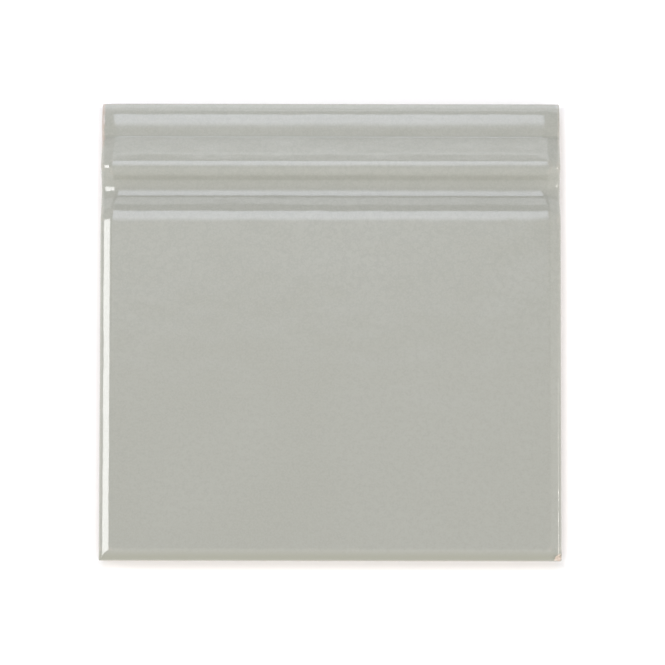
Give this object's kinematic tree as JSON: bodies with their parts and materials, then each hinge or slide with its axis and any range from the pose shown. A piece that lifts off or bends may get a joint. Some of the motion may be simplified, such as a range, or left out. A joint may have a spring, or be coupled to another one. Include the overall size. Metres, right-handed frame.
{
  "type": "ceramic skirting tile",
  "caption": "Glazed ceramic skirting tile, square, with a stepped nose, bead and hollow moulded along its top edge above a plain flat face with bevelled ends and foot.",
  "frame": {"origin": "middle of the flat back, where the tile rests on the floor", "axes": "X along the width, Y up the height towards the moulded edge, Z out of the face"},
  "size_m": [0.1524, 0.1524, 0.02],
  "materials": {
    "glaze": "glossy grey glaze over fired clay"
  },
  "bodies": {
    "root": {"skirting_tile": "glaze"}
  },
  "joints": []
}
